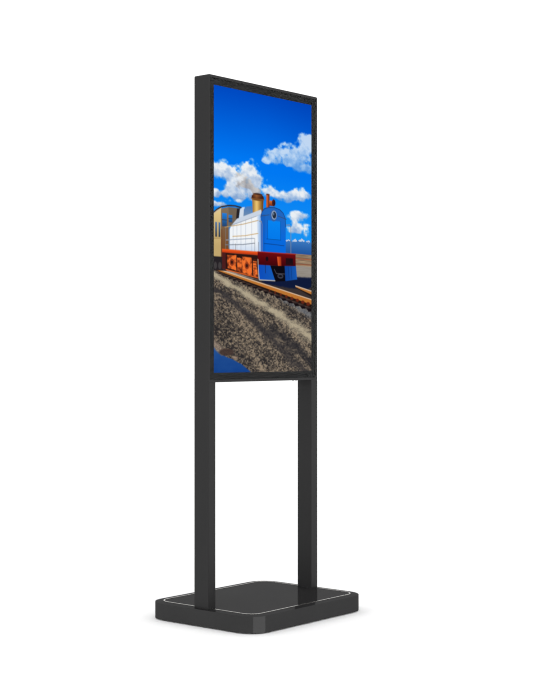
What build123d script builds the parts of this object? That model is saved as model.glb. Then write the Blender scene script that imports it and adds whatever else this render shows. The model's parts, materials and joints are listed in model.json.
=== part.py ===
from build123d import *
import math
import os

# A floor-standing portrait touchscreen kiosk. Millimetres. +X runs along the display's width,
# the glass faces -Y, +Z is up, and the origin is on the floor under the middle of the base.

# ------------------------------------------------------------------ driving dimensions
overall_height = 1800.0
head_width = 592.0
head_height = 1004.0
depth = 61.0                     # the head and the two posts share this depth
post_width = 36.0
screen_width = 529.4             # lit area of a 43 inch 16:9 panel, stood on end
screen_height = 941.2
lip = 8.0                        # frame showing around the glass
glass_thickness = 3.0
base_length = 620.0
base_depth = 470.0
base_corner = 75.0
base_bottom = 4.0                # lower edge of the base cover above the floor
base_edge_top = 57.0             # top of the base cover at its rim
base_top = 59.0                  # top of the base inside the trim
trim_inset = 30.0                # middle of the bright trim, in from the base's edge
trim_width = 3.0
trim_rise = 1.0                  # how far the trim stands above the base's top

# ------------------------------------------------------------------ derived places
front = -depth / 2
rear = depth / 2
head_half = head_width / 2
head_bottom = overall_height - head_height
head_middle = overall_height - head_height / 2
post_middle = head_half - post_width / 2
edge_round = 1.2
frame_wall = 3.0
frame_corner = 7.0               # the head's two top corners; the bottom ones meet the posts square
glass_back = front + glass_thickness
ink_thickness = 0.3
ledge_front = glass_back + ink_thickness
ledge_thickness = 2.0
ledge_width = 16.0
flange_front = 25.5
flange_width = 17.0
cover_front = 28.5
cover_gap = 0.5
lcd_front = ledge_front + 0.1
lcd_cell_back = lcd_front + 2.0
lcd_back = -12.0
lcd_margin = 9.3                 # blind rim of the panel around its lit area
plate_bottom = 12.0
plate_top = 22.0
flange_top = 30.0
skirt_wall = 2.5
band_under = 53.5
ledge_top = 56.0
foot_x = base_length / 2 - base_corner
foot_y = base_depth / 2 - base_corner
stud_radius = 6.0
anchor_x = 190.0
anchor_y = 130.0
anchor_radius = 5.5
upright_width = 24.0
upright_depth = 25.0
upright_y = 1.0
upright_top = 1560.0
upright_wall = 3.0
screw_x_inner = post_middle - 23.0
screw_x_outer = post_middle + 19.0
screw_y = 45.0
cable_radius = 3.5
cable_hole = 4.0
cable_y = 21.0
cable_x = post_middle - 5.0
inlet_x = 200.0
inlet_z = 31.0
network_x = 120.0
base_rear = base_depth / 2
socket_plate = 2.0               # the sockets' flanges sit behind the skirt's rear wall
socket_seat = base_rear - skirt_wall - socket_plate
socket_depth = 24.0
rocker_x = inlet_x + 14.0
rocker_width = 13.2
rocker_rest = 9.0                # degrees the rocker leans at rest, and the other way when on
sensor_x = 242.0
sensor_z = 809.0
button_xs = {"power": 205.0, "volume_down": 223.0, "volume_up": 241.0}
button_y = 8.0
speaker_middle = 130.0
crossmember_heights = {"lower": 1060.0, "upper": 1520.0}
crossmember_height = 40.0
crossmember_back = 3.0
fan_x = 120.0
fan_z = 1700.0
fan_size = 60.0
fan_front = 13.5
fan_bore = 28.0
door_top = 1110.0
cover_bottom = 1112.0
hinge_x = head_half - 5.0
hinge_y = rear + 3.5
hinge_heights = (850.0, 1060.0)
hinge_length = 50.0
knuckle_radius = 3.0
pin_radius = 1.5
pin_clearance = 0.05
lock_x = -262.0
lock_z = 955.0


# ------------------------------------------------------------------ helpers
def block(x0, x1, y0, y1, z0, z1):
    """A box from its six faces."""
    return Pos((x0 + x1) / 2, (y0 + y1) / 2, (z0 + z1) / 2) * Box(x1 - x0, y1 - y0, z1 - z0)


def rod_z(x, y, radius, z0, z1):
    """An upright cylinder."""
    return Pos(x, y, (z0 + z1) / 2) * Cylinder(radius, z1 - z0)


def rod_y(x, z, radius, y0, y1):
    """A cylinder along Y."""
    return Pos(x, (y0 + y1) / 2, z) * Rot(90, 0, 0) * Cylinder(radius, y1 - y0)


def slab(length, width, corner, z0, z1):
    """A flat slab with rounded corners, centred on the origin."""
    return Pos(0, 0, z0) * extrude(RectangleRounded(length, width, corner), z1 - z0)


def sheet(width, height, corner, y0, y1, middle=head_middle):
    """An upright sheet with rounded corners, between two depths."""
    upright = Plane((0, y0, middle), x_dir=(1, 0, 0), z_dir=(0, 1, 0))
    return extrude(upright * RectangleRounded(width, height, corner), y1 - y0)


def base_slab(inset, z0, z1):
    """The base's outline, drawn in by an inset and raised between two heights."""
    return slab(base_length - 2 * inset, base_depth - 2 * inset, base_corner - inset, z0, z1)


def hexagon(x, y, across_flats, z0, z1):
    """An upright hexagonal prism."""
    outline = RegularPolygon(across_flats / math.sqrt(3), 6)
    return Pos(x, y, z0) * extrude(outline, z1 - z0)


def save(node, *solids):
    """Write one node, which may be a group of separate identical pieces."""
    shape = solids[0] if len(solids) == 1 else Compound(children=list(solids))
    export_step(shape, f"parts/{node}.step")


def post_space(gap, z0, z1):
    """The room both posts take through the base cover, with a gap around them."""
    half_x = post_width / 2 + gap
    half_y = depth / 2 + gap
    spaces = []
    for side in (-1, 1):
        middle = side * post_middle
        spaces.append(block(middle - half_x, middle + half_x, -half_y, half_y, z0, z1))
    return spaces


# ------------------------------------------------------------------ the base
def make_base_plate():
    """The steel floor plate that carries the posts, the ballast and the feet."""
    plate = base_slab(skirt_wall + 1.0, plate_bottom, plate_top)
    plate -= block(inlet_x - 36, inlet_x + 36, base_rear - 34, base_rear, plate_bottom, plate_top)
    for x in (-1, 1):
        for y in (-1, 1):
            plate -= rod_z(x * foot_x, y * foot_y, stud_radius + 0.15, plate_bottom, plate_top)
            plate -= rod_z(x * anchor_x, y * anchor_y, anchor_radius, plate_bottom, plate_top)
    return plate


def make_base_cover():
    """The formed cover: an upright skirt and a band that rises gently to the trim."""
    skirt = base_slab(0, base_bottom, base_edge_top)
    low = Pos(0, 0, base_edge_top) * RectangleRounded(base_length, base_depth, base_corner)
    inner_corner = base_corner - trim_inset
    high = Pos(0, 0, base_top) * RectangleRounded(
        base_length - 2 * trim_inset, base_depth - 2 * trim_inset, inner_corner)
    cover = skirt + loft([low, high])
    rim = cover.edges().filter_by_position(Axis.Z, base_edge_top - 0.1, base_edge_top + 0.1)
    cover = fillet(rim, edge_round)
    cover -= base_slab(skirt_wall, base_bottom, band_under)
    cover -= base_slab(trim_inset + 10, band_under, base_top)
    cover -= base_slab(trim_inset - trim_width / 2, ledge_top, base_top)
    for space in post_space(0.3, base_bottom, base_top):
        cover -= space
    cover -= block(inlet_x - 27, inlet_x + 27, base_rear - 5, base_rear, inlet_z - 16, inlet_z + 16)
    cover -= block(network_x - 8, network_x + 8, base_rear - 5, base_rear, inlet_z - 7, inlet_z + 7.5)
    return cover


def make_base_top_plate():
    """The flat plate inside the trim."""
    plate = base_slab(trim_inset + trim_width / 2, ledge_top, base_top)
    for space in post_space(0.3, ledge_top, base_top):
        plate -= space
    return plate


def make_trim():
    """The bright trim ring, parted where the posts stand: a front run and a rear run."""
    ring = base_slab(trim_inset - trim_width / 2, ledge_top, base_top + trim_rise)
    ring -= base_slab(trim_inset + trim_width / 2, ledge_top, base_top + trim_rise)
    for space in post_space(0.3, ledge_top, base_top + trim_rise):
        ring -= space
    return ring.solids().sort_by(Axis.Y)


def make_ballast():
    """The steel block that keeps the centre of mass low."""
    return block(-150, 150, -100, 100, plate_top, 42)


def make_upright(side):
    """A steel tube on a bolted foot: the post hides its lower half, the head its upper half."""
    middle = side * post_middle
    half_x = upright_width / 2
    y0 = upright_y - upright_depth / 2
    y1 = upright_y + upright_depth / 2
    tube = block(middle - half_x, middle + half_x, y0, y1, flange_top, upright_top)
    tube -= block(middle - half_x + upright_wall, middle + half_x - upright_wall,
                  y0 + upright_wall, y1 - upright_wall, flange_top, upright_top)
    foot_inner = side * (post_middle - 33)
    foot_outer = side * (post_middle + 25)
    foot = block(min(foot_inner, foot_outer), max(foot_inner, foot_outer), -60, 60, plate_top, flange_top)
    return tube + foot


def make_post(side):
    """The visible post: a rectangular tube with softened long edges, standing on the foot."""
    middle = side * post_middle
    post = block(middle - post_width / 2, middle + post_width / 2, front, rear, flange_top, head_bottom)
    post = fillet(post.edges().filter_by(Axis.Z), edge_round)
    wall = 2.5
    post -= block(middle - post_width / 2 + wall, middle + post_width / 2 - wall,
                  front + wall, rear - wall, flange_top, head_bottom)
    if side > 0:
        post -= block(middle - post_width / 2, middle - post_width / 2 + wall,
                      cable_y - 6, cable_y + 6, flange_top, 50)
    return post


def make_flange_screws():
    """Hexagon screws that hold the uprights' feet to the floor plate."""
    screws = []
    for side in (-1, 1):
        for x in (screw_x_inner, screw_x_outer):
            for y in (-screw_y, screw_y):
                screws.append(hexagon(side * x, y, 16, flange_top, flange_top + 6.4))
    return screws


def make_foot(x, y):
    """A levelling foot: a swivelled pad under a threaded stud."""
    pad = rod_z(x, y, 23, 0, 7)
    pad = fillet(pad.edges().group_by(Axis.Z)[-1], 2.0)
    pad = chamfer(pad.edges().group_by(Axis.Z)[0], 1.0)
    nut = hexagon(x, y, 17, 7, 11)
    stud = rod_z(x, y, stud_radius, 11, 46)
    return pad + nut + stud


# ------------------------------------------------------------------ sockets in the base's rear wall
def make_inlet_housing():
    """The mains inlet module: a plug recess, a fuse drawer's bay and a rocker's bay."""
    face = socket_seat + socket_plate
    back = socket_seat - 18
    plate = block(inlet_x - 31, inlet_x + 31, socket_seat, face, inlet_z - 18.5, inlet_z + 18.5)
    plate = fillet(plate.edges().filter_by(Axis.Y), 3.0)
    body = block(inlet_x - 26.5, inlet_x + 26.5, socket_seat - socket_depth, socket_seat,
                 inlet_z - 15.5, inlet_z + 15.5)
    housing = plate + body
    plug = block(inlet_x - 24, inlet_x, back, face, inlet_z - 5, inlet_z + 11.5)
    housing -= chamfer(plug.edges().filter_by(Axis.Y).group_by(Axis.Z)[-1], 4.0)
    housing -= block(inlet_x - 22, inlet_x - 2, back, face, inlet_z - 14, inlet_z - 7)
    housing -= block(rocker_x - 7, rocker_x + 7, back, face, inlet_z - 11, inlet_z + 11)
    return housing


def make_inlet_pins():
    """The three blades inside the plug recess."""
    pins = []
    for x, z in ((-19, 1.5), (-12, 5.5), (-5, 1.5)):
        pins.append(block(inlet_x + x - 1, inlet_x + x + 1, socket_seat - 18, socket_seat - 3,
                          inlet_z + z - 2, inlet_z + z + 2))
    return pins


def make_fuse_drawer():
    """The small drawer that holds the fuse, with a finger lip."""
    face = socket_seat + socket_plate
    drawer = block(inlet_x - 21.8, inlet_x - 2.2, socket_seat - 17.5, face, inlet_z - 13.8, inlet_z - 7.2)
    finger_lip = block(inlet_x - 15, inlet_x - 9, face, face + 1.5, inlet_z - 13, inlet_z - 8)
    return drawer + finger_lip


def make_rocker():
    """The mains rocker, which leans on its pivot: two flats meet in a shallow valley."""
    outline = Polyline((0, 4.2), (9.9, 5.6), (7, -4), (-7, -4), (-9.9, 5.6), close=True)
    end_x = rocker_x + rocker_width / 2
    pivot = Plane((end_x, socket_seat - 3, inlet_z), x_dir=(0, 0, 1), z_dir=(-1, 0, 0))
    return extrude(pivot * Rot(0, 0, rocker_rest) * make_face(outline), rocker_width)


def make_network_socket():
    """A keyed data socket."""
    face = socket_seat + socket_plate
    back = socket_seat - 15
    plate = block(network_x - 13, network_x + 13, socket_seat, face, inlet_z - 8.9, inlet_z + 12)
    plate = fillet(plate.edges().filter_by(Axis.Y), 2.0)
    body = block(network_x - 9.5, network_x + 9.5, socket_seat - 22, socket_seat,
                 inlet_z - 8.5, inlet_z + 8.5)
    socket = plate + body
    socket -= block(network_x - 5.9, network_x + 5.9, back, face, inlet_z - 4, inlet_z + 4.2)
    socket -= block(network_x - 3, network_x + 3, back, face, inlet_z + 4.2, inlet_z + 6)
    return socket


def make_power_cable():
    """The mains lead inside the kiosk: from the inlet, through the right post, to the supply."""
    route = [
        (inlet_x, socket_seat - socket_depth, inlet_z + 6),
        (inlet_x, base_rear - 90, inlet_z + 6),
        (inlet_x + 4, 70, inlet_z + 6),
        (inlet_x + 14, cable_y, inlet_z + 7),
        (cable_x, cable_y, inlet_z + 7),
        (cable_x, cable_y, 120),
    ]
    path = FilletPolyline(*route, radius=[60, 40, 24, 20])
    start = Plane(origin=path @ 0, z_dir=path % 0)
    lower = sweep(start * Circle(cable_radius), path)
    riser = rod_z(cable_x, cable_y, cable_radius, 120, 840)
    return lower + riser


# ------------------------------------------------------------------ the head
def make_frame():
    """The four mitred rails around the head, as a dictionary of solids."""
    ring = sheet(head_width, head_height, frame_corner, front, rear)
    for x in (-head_half, head_half - frame_corner):
        ring += block(x, x + frame_corner, front, rear, head_bottom, head_bottom + frame_corner)
    outer_edges = ring.edges().group_by(Axis.Y)
    ring = fillet(outer_edges[0] + outer_edges[-1], edge_round)
    inner_width = head_width - 2 * frame_wall
    inner_height = head_height - 2 * frame_wall
    ring -= sheet(head_width - 2 * lip, head_height - 2 * lip, 3.5, front, ledge_front)
    ring -= sheet(head_width - 2 * ledge_width, head_height - 2 * ledge_width, 2, ledge_front, cover_front)
    ring -= sheet(inner_width, inner_height, 3, ledge_front + ledge_thickness, flange_front)
    ring -= sheet(head_width - 2 * flange_width, head_height - 2 * flange_width, 2, flange_front, cover_front)
    ring -= sheet(inner_width, inner_height, cover_gap, cover_front, rear)
    for side in (-1, 1):
        middle = side * post_middle
        ring -= block(middle - 12.5, middle + 12.5, upright_y - 13, upright_y + 13,
                      head_bottom, head_bottom + frame_wall)
        for step in range(-9, 10):
            x = side * speaker_middle + 5.0 * step
            ring -= block(x - 1.2, x + 1.2, -4, 20, head_bottom, head_bottom + frame_wall)
    ring -= rod_z(cable_x, cable_y, cable_hole, head_bottom, head_bottom + frame_wall)
    ring -= rod_y(sensor_x, sensor_z, 2.7, ledge_front, ledge_front + ledge_thickness)
    for x in button_xs.values():
        ring -= rod_z(x, button_y, 4.1, head_bottom, head_bottom + frame_wall)
    inset = 60.0
    outer = [(-head_half, head_bottom), (-head_half, overall_height),
             (head_half, overall_height), (head_half, head_bottom)]
    inner = [(-head_half + inset, head_bottom + inset), (-head_half + inset, overall_height - inset),
             (head_half - inset, overall_height - inset), (head_half - inset, head_bottom + inset)]
    rails = {}
    for index, name in enumerate(("left", "top", "right", "bottom")):
        after = (index + 1) % 4
        outline = Polyline(outer[index], outer[after], inner[after], inner[index], close=True)
        back_plane = Plane((0, rear, 0), x_dir=(1, 0, 0), z_dir=(0, -1, 0))
        rails[f"frame_{name}"] = ring & extrude(back_plane * make_face(outline), depth)
    return rails


def make_corner_keys():
    """Angle brackets inside the four corners that pull the mitres together."""
    keys = []
    reach = 40.0
    thickness = 3.0
    key_front = upright_y + upright_depth / 2 + 1
    for x in (-1, 1):
        for z in (-1, 1):
            corner = Pos(x * (head_half - frame_wall), 0, head_middle + z * (head_height / 2 - frame_wall))
            flat = block(min(0, -x * reach), max(0, -x * reach), key_front, flange_front,
                         min(0, -z * thickness), max(0, -z * thickness))
            upright = block(min(0, -x * thickness), max(0, -x * thickness), key_front, flange_front,
                            min(0, -z * reach), max(0, -z * reach))
            key = flat + upright
            outer = key.edges().filter_by(Axis.Y).sort_by_distance((0, 0, 0))[0]
            key = corner * chamfer(outer, frame_wall)
            keys.append(key - rod_z(x * cable_x, cable_y, cable_hole, head_bottom, head_bottom + 10))
    return keys


def make_glass():
    """The toughened touch glass, flush with the frame's lip."""
    return sheet(head_width - 2 * lip - 1, head_height - 2 * lip - 1, 3, front, glass_back)


def make_glass_border():
    """The black printed border on the back of the glass, open over the lit area."""
    border = sheet(head_width - 2 * lip - 1, head_height - 2 * lip - 1, 3, glass_back, ledge_front)
    border -= sheet(screen_width, screen_height, 0.5, glass_back, ledge_front)
    border -= rod_y(sensor_x, sensor_z, 2.5, glass_back, ledge_front)
    return border


def make_light_sensor():
    """The small round sensor that looks out through the bottom border."""
    lens = rod_y(sensor_x, sensor_z, 2.4, glass_back, -20)
    board = block(sensor_x - 8, sensor_x + 8, -20, -18.6, sensor_z - 5, sensor_z + 7)
    return lens + board


def make_lcd_cell():
    """The display's front sandwich, which carries the picture."""
    return sheet(screen_width + 2 * lcd_margin, screen_height + 2 * lcd_margin, 1, lcd_front, lcd_cell_back)


def make_lcd_chassis():
    """The display's backlight tray, with a shallow raised field on its back."""
    tray_width = screen_width + 2 * lcd_margin + 4
    tray_height = screen_height + 2 * lcd_margin + 4
    tray = sheet(tray_width, tray_height, 2, lcd_cell_back, lcd_back - 2)
    field = sheet(460, 860, 6, lcd_back - 2, lcd_back)
    return tray + field


def make_crossmember(middle):
    """A box tube between the uprights that the display bolts to."""
    half = post_middle - upright_width / 2
    z0 = middle - crossmember_height / 2
    z1 = middle + crossmember_height / 2
    tube = block(-half, half, lcd_back, crossmember_back, z0, z1)
    wall = 2.0
    return tube - block(-half, half, lcd_back + wall, crossmember_back - wall, z0 + wall, z1 - wall)


def make_crossmember_screws():
    """Screw heads through the crossmembers into the display's back."""
    screws = []
    for middle in crossmember_heights.values():
        for x in (-200, 200):
            head = rod_y(x, middle, 5.5, crossmember_back, crossmember_back + 4)
            screws.append(head - rod_y(x, middle, 2.5, crossmember_back + 1.5, crossmember_back + 4))
    return screws


def make_electronics_plate():
    """The sheet that carries the electronics behind the service door."""
    plate = block(-240, 240, lcd_back, lcd_back + 2, 842, 1030)
    return fillet(plate.edges().filter_by(Axis.Y), 6)


def make_power_supply():
    """A caged supply with a perforated lid and a terminal strip."""
    y0 = lcd_back + 2
    cage = block(55, 215, y0, y0 + 32, 860, 960)
    cage = fillet(cage.edges().filter_by(Axis.Y), 2)
    for row in range(6):
        for column in range(10):
            cage -= rod_y(85 + 12 * column, 880 + 12 * row, 3.0, y0 + 30, y0 + 32)
    strip = block(215, 229, y0, y0 + 16, 870, 950)
    for lug in range(7):
        strip -= block(218, 229, y0 + 8, y0 + 16, 872 + 11 * lug, 880 + 11 * lug)
    return cage + strip


def make_player():
    """The media player's closed case, with a row of port shrouds on its lower edge."""
    y0 = lcd_back + 2
    case = block(-200, -20, y0, y0 + 22, 870, 990)
    case = fillet(case.edges().filter_by(Axis.Y), 5)
    shrouds = block(-185, -35, y0 + 4, y0 + 18, 866, 870)
    return case + shrouds


def make_player_heatsink():
    """A finned block on the player's case."""
    y0 = lcd_back + 24
    sink = block(-160, -60, y0, y0 + 3, 890, 970)
    for fin in range(17):
        x = -159 + 6.125 * fin
        sink += block(x - 1, x + 1, y0 + 3, y0 + 11, 890, 970)
    return sink


def make_touch_controller():
    """The touch glass's controller board on four standoffs."""
    y0 = lcd_back + 2
    board = block(-10, 70, y0 + 5, y0 + 6.6, 978, 1018)
    for x in (-4, 64):
        for z in (984, 1012):
            board += rod_y(x, z, 2.5, y0, y0 + 5)
    board += block(18, 38, y0 + 6.6, y0 + 8.2, 986, 1006)
    board += block(48, 66, y0 + 6.6, y0 + 10.6, 994, 1000)
    return board


def make_speaker(side):
    """A sealed speaker that plays down through the slots under the head."""
    middle = side * speaker_middle
    floor = head_bottom + frame_wall
    box = block(middle - 55, middle + 55, -9, 22, floor + 2, floor + 38)
    box = fillet(box.edges().filter_by(Axis.Z), 5)
    gasket = block(middle - 50, middle + 50, -7, 21, floor, floor + 2)
    box += gasket
    box -= Pos(middle, 8, floor + 4) * Cylinder(13, 8)
    cone = Pos(middle, 8, floor + 6) * Cone(5, 13, 4)
    return box + cone


def make_fan_frame(side):
    """A square fan housing with a motor seat on four struts."""
    x = side * fan_x
    half = fan_size / 2
    housing = block(x - half, x + half, fan_front, cover_front, fan_z - half, fan_z + half)
    housing = fillet(housing.edges().filter_by(Axis.Y), 4)
    housing -= rod_y(x, fan_z, fan_bore, fan_front, cover_front)
    seat = rod_y(x, fan_z, 13, fan_front, fan_front + 2)
    for turn in (45, 135):
        strut = Pos(x, fan_front + 1, fan_z) * Rot(0, turn, 0) * Box(2 * fan_bore + 4, 2, 3)
        seat += strut
    seat += rod_y(x, fan_z, 1.5, fan_front + 2, fan_front + 9)
    return housing + seat


def make_fan_rotor(side):
    """A hub with seven pitched blades, turning on the motor seat's pin."""
    x = side * fan_x
    hub = rod_y(x, fan_z, 13, fan_front + 2.5, fan_front + 12.5)
    hub -= rod_y(x, fan_z, 1.5 + pin_clearance, fan_front + 2.5, fan_front + 9.5)
    blades = 7
    for index in range(blades):
        blade = Pos(x, fan_front + 7.5, fan_z) * Rot(0, 360 / blades * index, 0) \
            * Pos(19.2, 0, 0) * Rot(35, 0, 0) * Box(14.5, 1.4, 11)
        hub += blade
    return hub


def slot_rows(first_x, count, pitch, width, z0, z1):
    """A row of upright slots through the rear sheet."""
    slots = []
    for index in range(count):
        x = first_x + pitch * index
        slots.append(block(x - width / 2, x + width / 2, cover_front, rear, z0, z1))
    return slots


def make_rear_cover():
    """The fixed upper rear sheet, with an air intake low down and two fan grilles."""
    half = head_half - frame_wall - cover_gap
    cover = block(-half, half, cover_front, rear, cover_bottom, overall_height - frame_wall - cover_gap)
    for slot in slot_rows(-165, 45, 7.5, 3.2, 1135, 1175):
        cover -= slot
    for side in (-1, 1):
        for row in range(-3, 4):
            z = fan_z + 7.5 * row
            reach = math.sqrt(27.0 ** 2 - (7.5 * row) ** 2)
            x = side * fan_x
            cover -= block(x - reach, x + reach, cover_front, rear, z - 1.6, z + 1.6)
    return cover


def make_rear_cover_screws():
    """Low round screw heads around the upper rear sheet."""
    screws = []
    for x in (-286, 286):
        for z in (1125, 1290, 1455, 1620, 1785):
            head = rod_y(x, z, 3.5, rear, rear + 1.6)
            head = fillet(head.edges().group_by(Axis.Y)[-1], 1.0)
            screws.append(head - rod_y(x, z, 1.2, rear + 0.6, rear + 1.6))
    return screws


# ------------------------------------------------------------------ the service door
def make_service_door():
    """The hinged lower rear sheet, stiffened by folded returns on its inner side."""
    half = head_half - frame_wall - cover_gap
    bottom = head_bottom + frame_wall + cover_gap
    door = block(-half, head_half - 6.0, cover_front, rear, bottom, door_top)
    for z in (bottom + 20, door_top - 8):
        door += block(-250, 250, cover_front - 5, cover_front, z, z + 2)
    for slot in slot_rows(-105, 29, 7.5, 3.2, 1010, 1050):
        door -= slot
    door -= rod_y(lock_x, lock_z, 8.0, cover_front, rear)
    return door


def knuckle(z0, z1):
    """One solid knuckle on the hinge's line."""
    return rod_z(hinge_x, hinge_y, knuckle_radius, z0, z1)


def make_hinge_frame_leaves():
    """The leaves on the right rail, each with an upper and a lower knuckle."""
    leaves = []
    for middle in hinge_heights:
        z0 = middle - hinge_length / 2
        z1 = middle + hinge_length / 2
        third = hinge_length / 3
        leaf = block(hinge_x + 3.3, head_half, rear, rear + 2.0, z0, z1)
        for low, high in ((z0, z0 + third), (z1 - third, z1)):
            leaf += block(hinge_x, hinge_x + 3.3, rear + 0.5, rear + 2.0, low, high)
            leaf += knuckle(low, high)
        leaves.append(leaf - rod_z(hinge_x, hinge_y, pin_radius, z0, z1))
    return leaves


def make_hinge_door_leaves():
    """The leaves on the door, each with the middle knuckle."""
    leaves = []
    for middle in hinge_heights:
        z0 = middle - hinge_length / 2
        z1 = middle + hinge_length / 2
        low = middle - hinge_length / 6 + 0.2
        high = middle + hinge_length / 6 - 0.2
        leaf = block(hinge_x - 29, hinge_x - 3.6, rear, rear + 1.5, z0, z1)
        leaf += block(hinge_x - 3.6, hinge_x, rear + 0.5, rear + 2.0, low, high)
        leaf += knuckle(low, high)
        leaves.append(leaf - rod_z(hinge_x, hinge_y, pin_radius + pin_clearance, z0, z1))
    return leaves


def make_hinge_pins():
    """The two hinge pins, held in the rail's knuckles."""
    pins = []
    for middle in hinge_heights:
        pins.append(rod_z(hinge_x, hinge_y, pin_radius, middle - hinge_length / 2, middle + hinge_length / 2))
    return pins


def make_lock_body():
    """The cam lock's fixed barrel and collar in the door."""
    collar = rod_y(lock_x, lock_z, 11, rear, rear + 2.5)
    collar = fillet(collar.edges().group_by(Axis.Y)[-1], 1.0)
    barrel = rod_y(lock_x, lock_z, 7.9, cover_front - 3, rear)
    body = collar + barrel
    return body - rod_y(lock_x, lock_z, 6.0 + pin_clearance, cover_front - 3, rear + 2.5)


def make_lock_plug():
    """The lock's turning plug with its keyway and the cam that hangs behind the door."""
    plug = rod_y(lock_x, lock_z, 6.0, cover_front - 3, rear + 2.5)
    plug -= block(lock_x - 0.8, lock_x + 0.8, rear - 3, rear + 2.5, lock_z - 4, lock_z + 4)
    cam = block(lock_x - 7, lock_x + 7, cover_front - 5.5, cover_front - 3.5, lock_z - 21, lock_z + 7)
    cam = fillet(cam.edges().filter_by(Axis.Y), 5)
    shank = rod_y(lock_x, lock_z, 4.0, cover_front - 7.5, cover_front - 3)
    return plug + cam + shank


# ------------------------------------------------------------------ the buttons
def make_button(x):
    """A push button under the head: a round cap and the collar that keeps it in."""
    cap = rod_z(x, button_y, 4.0, head_bottom - 2.2, head_bottom + 8)
    cap = fillet(cap.edges().group_by(Axis.Z)[0], 0.8)
    return cap + rod_z(x, button_y, 5.5, head_bottom + frame_wall + 0.2, head_bottom + frame_wall + 1.5)


def make_button_board():
    """The switch board above the buttons, hung from the bottom rail on two pillars."""
    xs = sorted(button_xs.values())
    z0 = head_bottom + 10
    board = block(xs[0] - 10, xs[-1] + 10, button_y - 8, button_y + 8, z0, z0 + 1.6)
    for x in (xs[0] - 7.5, xs[-1] + 7.5):
        board += rod_z(x, button_y, 1.6, head_bottom + frame_wall, z0)
    return board


# ------------------------------------------------------------------ write every node
os.makedirs("parts", exist_ok=True)

save("base_plate", make_base_plate())
save("base_cover", make_base_cover())
save("base_top_plate", make_base_top_plate())
trim_front, trim_rear = make_trim()
save("trim_front", trim_front)
save("trim_rear", trim_rear)
save("ballast", make_ballast())
save("flange_screws", *make_flange_screws())
for side_name, side_sign in (("left", -1), ("right", 1)):
    save(f"upright_{side_name}", make_upright(side_sign))
    save(f"post_{side_name}", make_post(side_sign))
    save(f"foot_front_{side_name}", make_foot(side_sign * foot_x, -foot_y))
    save(f"foot_rear_{side_name}", make_foot(side_sign * foot_x, foot_y))
    save(f"speaker_{side_name}", make_speaker(side_sign))
    save(f"fan_frame_{side_name}", make_fan_frame(side_sign))
    save(f"fan_rotor_{side_name}", make_fan_rotor(side_sign))

save("inlet_housing", make_inlet_housing())
save("inlet_pins", *make_inlet_pins())
save("fuse_drawer", make_fuse_drawer())
save("mains_rocker", make_rocker())
save("network_socket", make_network_socket())
save("power_cable", make_power_cable())

for rail_name, rail in make_frame().items():
    save(rail_name, rail)
save("corner_keys", *make_corner_keys())
save("touch_glass", make_glass())
save("glass_border", make_glass_border())
save("light_sensor", make_light_sensor())
save("lcd_cell", make_lcd_cell())
save("lcd_chassis", make_lcd_chassis())
for level, level_height in crossmember_heights.items():
    save(f"crossmember_{level}", make_crossmember(level_height))
save("crossmember_screws", *make_crossmember_screws())
save("electronics_plate", make_electronics_plate())
save("power_supply", make_power_supply())
save("media_player", make_player())
save("player_heatsink", make_player_heatsink())
save("touch_controller", make_touch_controller())
save("rear_cover", make_rear_cover())
save("rear_cover_screws", *make_rear_cover_screws())

save("service_door", make_service_door())
save("hinge_frame_leaves", *make_hinge_frame_leaves())
save("hinge_door_leaves", *make_hinge_door_leaves())
save("hinge_pins", *make_hinge_pins())
save("lock_body", make_lock_body())
save("lock_plug", make_lock_plug())

for button_name, button_x in button_xs.items():
    save(f"button_{button_name}", make_button(button_x))
save("button_board", make_button_board())
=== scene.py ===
import json
import math

import bpy
import numpy as np
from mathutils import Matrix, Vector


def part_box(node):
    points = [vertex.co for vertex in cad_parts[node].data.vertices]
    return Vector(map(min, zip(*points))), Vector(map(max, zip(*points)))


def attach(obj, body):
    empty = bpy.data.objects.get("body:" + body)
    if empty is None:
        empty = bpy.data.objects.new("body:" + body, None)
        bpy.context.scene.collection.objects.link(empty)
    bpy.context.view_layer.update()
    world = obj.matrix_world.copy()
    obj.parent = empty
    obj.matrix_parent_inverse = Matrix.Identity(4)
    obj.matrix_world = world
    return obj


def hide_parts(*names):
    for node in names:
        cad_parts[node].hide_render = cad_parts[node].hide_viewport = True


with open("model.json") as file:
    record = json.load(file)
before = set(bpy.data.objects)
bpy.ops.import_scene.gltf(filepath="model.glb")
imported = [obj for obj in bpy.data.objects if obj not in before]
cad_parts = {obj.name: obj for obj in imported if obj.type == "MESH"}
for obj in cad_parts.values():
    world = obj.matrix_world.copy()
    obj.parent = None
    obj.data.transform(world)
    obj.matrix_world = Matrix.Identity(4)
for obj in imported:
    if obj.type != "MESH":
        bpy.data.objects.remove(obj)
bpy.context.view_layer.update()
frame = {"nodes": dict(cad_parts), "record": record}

# ------------------------------------------------------------------ camera
# Level, at chest height, looking at the kiosk's front and left side.
CAMERA_PLACE = (-3.8574, -3.1187, 0.9018)
CAMERA_TURN = 48.743              # degrees from +Y towards +X
CAMERA_LENS = 74.62               # millimetres, on a 36 mm sensor
CAMERA_SHIFT = 0.1114             # puts the kiosk a little left of the middle


def make_camera():
    data = bpy.data.cameras.new("camera")
    data.sensor_width = 36.0
    data.lens = CAMERA_LENS
    data.shift_x = CAMERA_SHIFT
    data.clip_start = 0.05
    data.clip_end = 200.0
    camera = bpy.data.objects.new("camera", data)
    camera.location = CAMERA_PLACE
    camera.rotation_euler = (math.radians(90), 0, math.radians(-CAMERA_TURN))
    bpy.context.scene.collection.objects.link(camera)
    bpy.context.scene.camera = camera


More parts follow.
